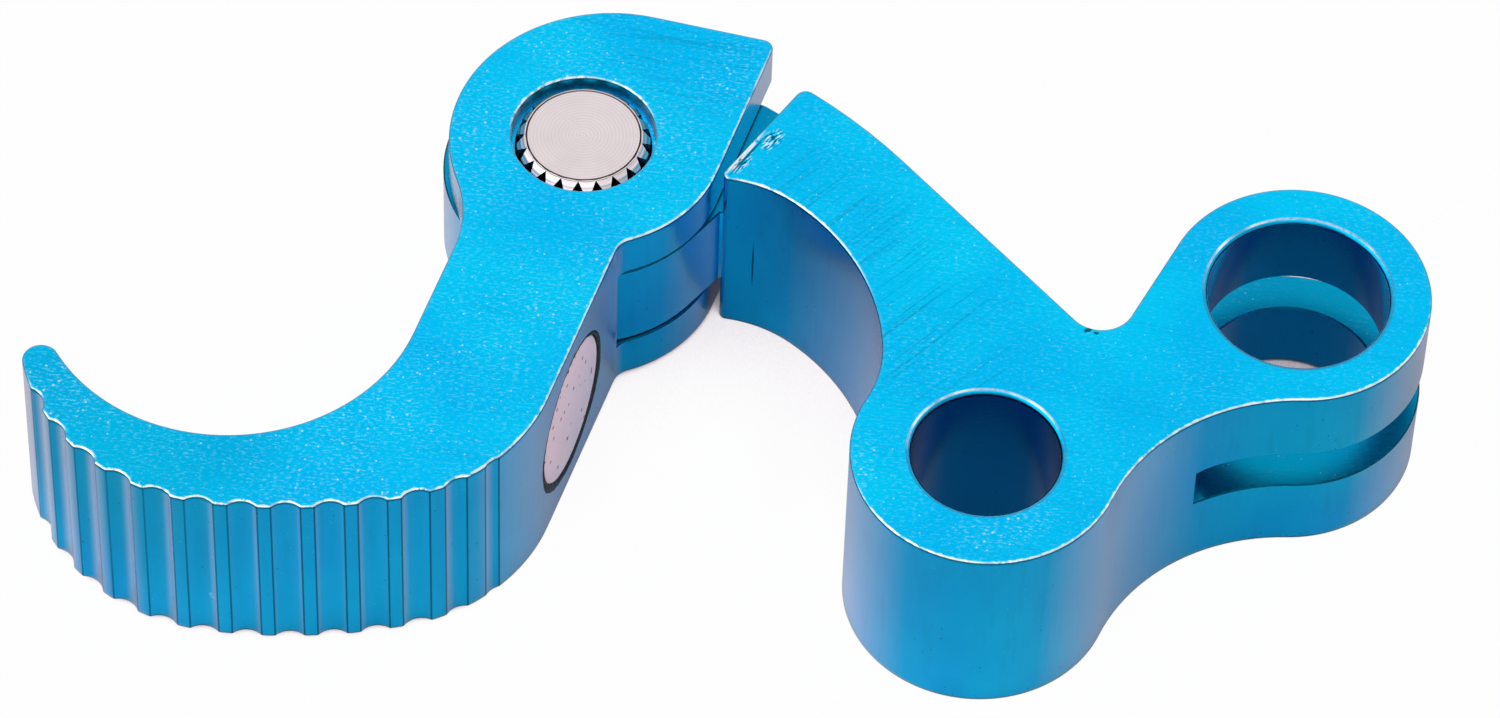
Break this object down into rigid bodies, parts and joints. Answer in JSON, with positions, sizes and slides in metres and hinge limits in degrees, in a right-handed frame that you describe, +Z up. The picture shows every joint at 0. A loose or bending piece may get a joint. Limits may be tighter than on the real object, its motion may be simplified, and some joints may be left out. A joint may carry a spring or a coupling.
{
  "type": "folding release lever",
  "caption": "Folding release lever: a bell-crank bracket with pivot and cable bores, hinged on a knurled pin to a hook-shaped scalloped finger grip that a magnet holds folded.",
  "frame": {"origin": "on the pivot bore's axis, on the bracket face that the part lies on", "axes": "+Z up along the pivot bore and the hinge pin; +X along the longest extent, from the hook to the cable boss; +Y from the pivot towards the hinge side"},
  "size_m": [0.0615, 0.0304, 0.0102],
  "materials": {
    "bracket": "satin blue anodised",
    "hook_lever": "satin blue anodised",
    "hinge_pin": "turned and knurled",
    "magnet": "nickel plated, pitted"
  },
  "bodies": {
    "bracket": {"bracket": "bracket"},
    "lever": {"hook_lever": "hook_lever", "hinge_pin": "hinge_pin", "magnet": "magnet"}
  },
  "joints": [
    {"name": "lever_fold", "type": "hinge", "parent": "bracket", "child": "lever", "pos_m": [-0.01765, 0.01749, 0.0051], "axis": [0, 0, 1], "range_deg": [-16, 50]}
  ]
}
